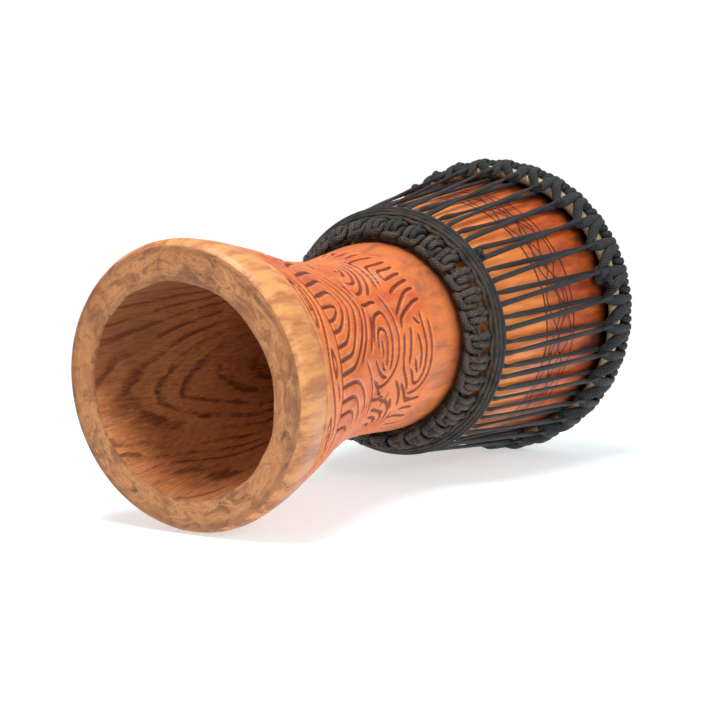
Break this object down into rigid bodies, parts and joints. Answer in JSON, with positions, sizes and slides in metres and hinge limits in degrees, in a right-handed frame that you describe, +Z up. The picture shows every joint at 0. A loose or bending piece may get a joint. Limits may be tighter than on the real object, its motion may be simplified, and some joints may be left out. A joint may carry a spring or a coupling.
{
  "type": "rope-tuned goblet drum",
  "caption": "Small goblet hand drum: carved wooden shell with a flared foot, goatskin head folded over a flesh ring, crown and waist rings with rope hitches and zig-zag lacing.",
  "frame": {"origin": "centre of the foot's flat face, on the drum's axis, where the drum stands", "axes": "+Z up along the drum's axis, from the foot to the playing skin; the drum is round, so X and Y are free"},
  "size_m": [0.2576, 0.2577, 0.466],
  "materials": {
    "shell_wood": "stained and oiled, carved",
    "goatskin": "dry rawhide",
    "ring_steel": "mill finish rod",
    "rope_black": "braided nylon, dusty"
  },
  "bodies": {
    "root": {"shell": "shell_wood", "head": "goatskin", "flesh_ring": "ring_steel", "crown_ring": "ring_steel", "waist_ring": "ring_steel", "crown_hitches": "rope_black", "waist_hitches": "rope_black", "waist_turn_1": "rope_black", "waist_turn_2": "rope_black", "lacing": "rope_black", "tail_knot": "rope_black", "end_knot": "rope_black"}
  },
  "joints": []
}
